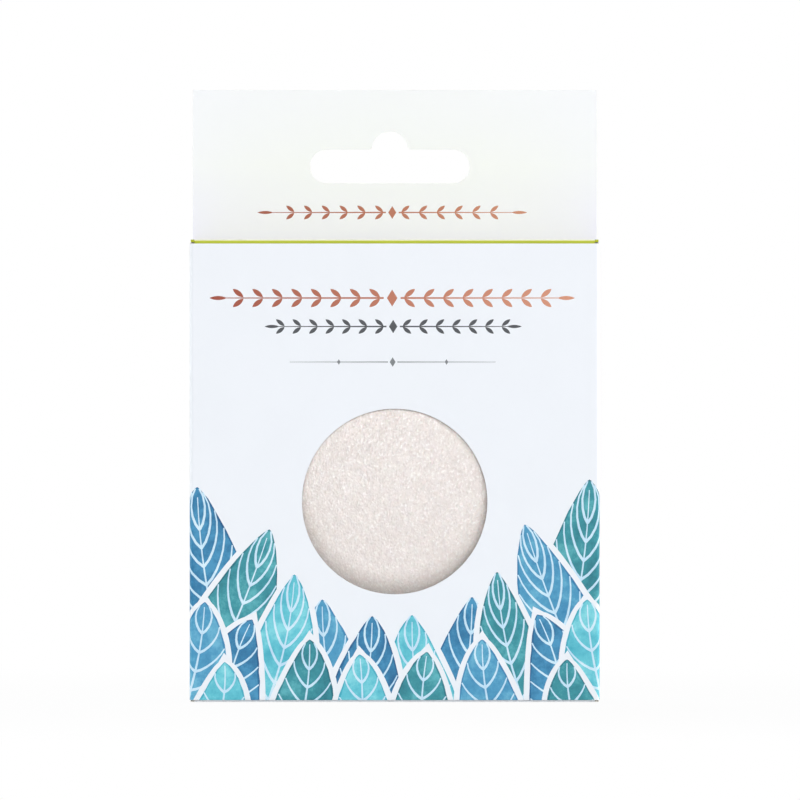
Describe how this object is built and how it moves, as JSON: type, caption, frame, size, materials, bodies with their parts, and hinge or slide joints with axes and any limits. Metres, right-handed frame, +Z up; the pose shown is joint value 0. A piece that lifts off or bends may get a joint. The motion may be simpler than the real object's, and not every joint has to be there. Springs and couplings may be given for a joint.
{
  "type": "boxed konjac sponge",
  "caption": "Half-ball konjac face sponge in a white folding hang carton with a round window, a euro peg slot and tuck closures at the top and the base.",
  "frame": {"origin": "on the table under the middle of the closed carton", "axes": "+Z up, +Y to the back where the hang tab stands, +X to the right seen from the printed front"},
  "size_m": [0.082, 0.038, 0.1232],
  "materials": {
    "white_board": "coated white board",
    "lime_board": "lime printed board",
    "konjac": "off-white dry konjac fibre, fine pores"
  },
  "bodies": {
    "carton": {"front_panel": "white_board", "back_panel": "white_board", "header_front": "white_board", "left_side_panel": "white_board", "right_side_panel": "white_board", "glue_flap": "white_board"},
    "lid": {"lid_panel": "lime_board"},
    "lid_tuck": {"lid_tuck_flap": "lime_board"},
    "lid_dust_left": {"lid_dust_flap_left": "white_board"},
    "lid_dust_right": {"lid_dust_flap_right": "white_board"},
    "base": {"base_panel": "white_board"},
    "base_tuck": {"base_tuck_flap": "white_board"},
    "base_dust_left": {"base_dust_flap_left": "white_board"},
    "base_dust_right": {"base_dust_flap_right": "white_board"},
    "sponge": {"sponge": "konjac"}
  },
  "joints": [
    {"name": "lid_hinge", "type": "hinge", "parent": "carton", "child": "lid", "pos_m": [0, 0.018, 0.0925], "axis": [-1, 0, 0], "range_deg": [0, 85]},
    {"name": "lid_tuck_crease", "type": "hinge", "parent": "lid", "child": "lid_tuck", "pos_m": [0, -0.01795, 0.09225], "axis": [1, 0, 0], "range_deg": [0, 20], "stiffness_Nm_per_rad": 0.00005, "springref_deg": -28.65},
    {"name": "lid_dust_left_crease", "type": "hinge", "parent": "carton", "child": "lid_dust_left", "pos_m": [-0.04075, 0, 0.09165], "axis": [0, -1, 0], "range_deg": [0, 34]},
    {"name": "lid_dust_right_crease", "type": "hinge", "parent": "carton", "child": "lid_dust_right", "pos_m": [0.04075, 0, 0.09165], "axis": [0, 1, 0], "range_deg": [0, 34]},
    {"name": "base_hinge", "type": "hinge", "parent": "carton", "child": "base", "pos_m": [0, 0.01875, 0.00025], "axis": [1, 0, 0], "range_deg": [0, 170]},
    {"name": "base_tuck_crease", "type": "hinge", "parent": "base", "child": "base_tuck", "pos_m": [0, -0.01795, 0.00025], "axis": [-1, 0, 0], "range_deg": [0, 20], "stiffness_Nm_per_rad": 0.00005, "springref_deg": -28.65},
    {"name": "base_dust_left_crease", "type": "hinge", "parent": "carton", "child": "base_dust_left", "pos_m": [-0.04075, 0, 0.00085], "axis": [0, 1, 0], "range_deg": [0, 68]},
    {"name": "base_dust_right_crease", "type": "hinge", "parent": "carton", "child": "base_dust_right", "pos_m": [0.04075, 0, 0.00085], "axis": [0, -1, 0], "range_deg": [0, 68]},
    {"name": "sponge_slide", "type": "slide", "parent": "carton", "child": "sponge", "axis": [0, 0, 1], "range_m": [0, 0.012]}
  ],
  "couplings": [
    {"joint": "lid_dust_left_crease", "follows": "lid_hinge", "ratio": 0.4},
    {"joint": "lid_dust_right_crease", "follows": "lid_hinge", "ratio": 0.4},
    {"joint": "base_dust_left_crease", "follows": "base_hinge", "ratio": 0.4},
    {"joint": "base_dust_right_crease", "follows": "base_hinge", "ratio": 0.4}
  ]
}
